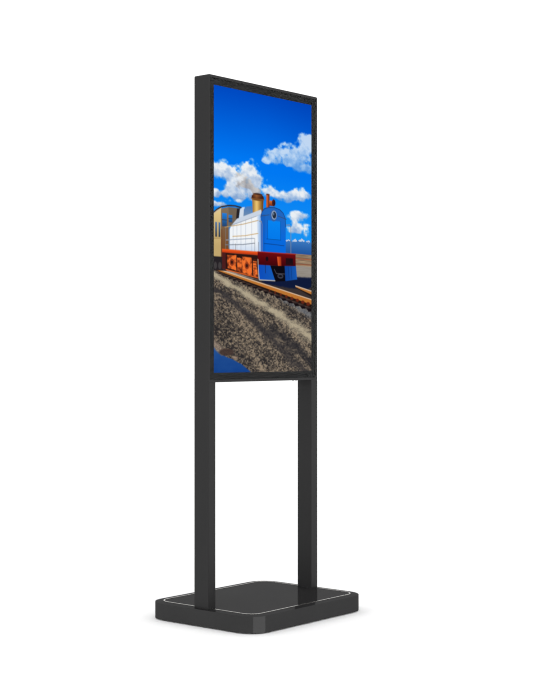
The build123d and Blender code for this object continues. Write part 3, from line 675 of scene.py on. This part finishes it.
def make_picture():
    """The display's picture: a flat mesh whose points carry the painted colours."""
    low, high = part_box("lcd_cell")
    left = low.x + PICTURE_BLIND
    right = high.x - PICTURE_BLIND
    bottom = low.z + PICTURE_BLIND
    top = high.z - PICTURE_BLIND
    rgb = linear(paint_picture((right - left) * 1000, (top - bottom) * 1000, PICTURE_CELL))
    rows, columns = rgb.shape[:2]
    x, z = np.meshgrid(np.linspace(left, right, columns), np.linspace(top, bottom, rows))
    y = np.full(x.shape, low.y - PICTURE_GAP)
    points = np.stack([x, y, z], -1).reshape(-1, 3)
    first = (np.arange(rows - 1)[:, None] * columns + np.arange(columns - 1)).reshape(-1)
    faces = np.stack([first, first + columns, first + columns + 1, first + 1], -1)
    mesh = bpy.data.meshes.new("screen_picture")
    mesh.from_pydata(points.tolist(), [], faces.tolist())
    attribute = mesh.color_attributes.new("picture", "FLOAT_COLOR", "POINT")
    colours = np.concatenate([rgb, np.ones((rows, columns, 1))], -1)
    attribute.data.foreach_set("color", colours.astype(np.float32).reshape(-1))
    mesh.materials.append(glowing_picture("picture_light"))
    piece = bpy.data.objects.new("screen_picture", mesh)
    bpy.context.scene.collection.objects.link(piece)
    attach(piece, "stand")


def make_border_print():
    """The black border printed on the back of the glass, its face just clear of the glass."""
    node = frame["nodes"]["glass_border"]
    mesh = node.data.copy()
    mesh.name = "border_print"
    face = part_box("glass_border")[0].y
    for vertex in mesh.vertices:
        if abs(vertex.co.y - face) < PRINT_GAP:
            vertex.co.y = face + PRINT_GAP
    piece = bpy.data.objects.new("border_print", mesh)
    piece.matrix_world = node.matrix_world
    bpy.context.scene.collection.objects.link(piece)
    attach(piece, "stand")
    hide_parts("glass_border")


def outline(half_x, half_z, middle_z, corner, steps=8):
    """Points round an upright rectangle with rounded corners."""
    points = []
    for quarter in range(4):
        sign_x = 1 if quarter in (0, 3) else -1
        sign_z = 1 if quarter in (0, 1) else -1
        for k in range(steps + 1):
            a = math.radians(90 * (quarter + k / steps))
            points.append((sign_x * (half_x - corner) + corner * math.cos(a),
                           middle_z + sign_z * (half_z - corner) + corner * math.sin(a)))
    return points


def make_glass_seal():
    """A thin bead of sealant in the joint between the glass and the frame's lip."""
    glass_low, glass_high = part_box("touch_glass")
    middle_z = (glass_low.z + glass_high.z) / 2
    half_x = (glass_high.x - glass_low.x) / 2
    half_z = (glass_high.z - glass_low.z) / 2
    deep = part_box("glass_border")[1].y - glass_low.y
    # across the joint, and behind the glass's front
    profile = ((0.05, deep), (0.05, SEAL_EDGE), (0.5, SEAL_DIP), (0.95, SEAL_EDGE), (0.95, deep))
    points = []
    for across, depth in profile:
        out = across * SEAL_JOINT
        ring = outline(half_x + out, half_z + out, middle_z, GLASS_CORNER + out)
        points += [(x, glass_low.y + depth, z) for x, z in ring]
    count = len(points) // len(profile)
    faces = []
    for row in range(len(profile)):
        after = (row + 1) % len(profile)
        for k in range(count):
            right = (k + 1) % count
            faces.append((row * count + k, row * count + right, after * count + right, after * count + k))
    mesh = bpy.data.meshes.new("glass_seal")
    mesh.from_pydata(points, [], faces)
    # the seal's grey is painted light: lighter than black sealant, to lift the shade deep in the narrow
    # joint
    mesh.materials.append(moulded("seal", (0.06, 0.06, 0.061), 0.6, 1800.0, specular=0.2))
    piece = bpy.data.objects.new("glass_seal", mesh)
    bpy.context.scene.collection.objects.link(piece)
    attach(piece, "stand")


# ------------------------------------------------------------------ studio
WORLD_LIGHT = 1.3
FLOOR_HALF = 30.0
SOFTBOX_SIZE = (3.95, 1.5)
SOFTBOX_POWER = 31.0
SOFTBOX_PLACE = (-0.72, -3.26, -0.48)   # low, so that only its top lights the base's rim
SOFTBOX_TURN = -8.5


def make_floor():
    """A plain pale floor."""
    half = FLOOR_HALF
    mesh = bpy.data.meshes.new("floor")
    corners = [(-half, -half, 0), (half, -half, 0), (half, half, 0), (-half, half, 0)]
    mesh.from_pydata(corners, [], [(0, 1, 2, 3)])
    f = Finish("floor")
    shader = f.add("BsdfPrincipled", {
        "Base Color": f.tint(f.noise(3), (0.885, 0.885, 0.885), (0.9, 0.9, 0.9)),
        "Roughness": f.span(f.noise(8), 0.85, 0.95),
        "Specular IOR Level": 0.0,
    })
    mesh.materials.append(f.done(shader))
    floor = bpy.data.objects.new("floor", mesh)
    bpy.context.scene.collection.objects.link(floor)
    floor.visible_glossy = False      # mirrors see the even studio instead of the floor


def make_light():
    """An even white studio, and one softbox for the bright band on the base's corner."""
    world = bpy.data.worlds.new("studio")
    world.use_nodes = True
    background = world.node_tree.nodes["Background"]
    background.inputs["Color"].default_value = (1.0, 1.0, 1.0, 1.0)
    background.inputs["Strength"].default_value = WORLD_LIGHT
    bpy.context.scene.world = world
    data = bpy.data.lights.new("softbox", "AREA")
    data.shape = "RECTANGLE"
    data.size, data.size_y = SOFTBOX_SIZE
    data.energy = SOFTBOX_POWER
    softbox = bpy.data.objects.new("softbox", data)
    softbox.location = SOFTBOX_PLACE
    softbox.rotation_euler = (math.radians(90), 0, math.radians(SOFTBOX_TURN))
    softbox.visible_camera = False
    bpy.context.scene.collection.objects.link(softbox)
    bpy.context.scene.view_settings.view_transform = "Standard"
    bpy.context.scene.cycles.filter_width = 1.2


# ------------------------------------------------------------------ making
make_camera()
make_light()
make_floor()
dress_nodes(make_materials())
make_picture()
make_border_print()
make_glass_seal()
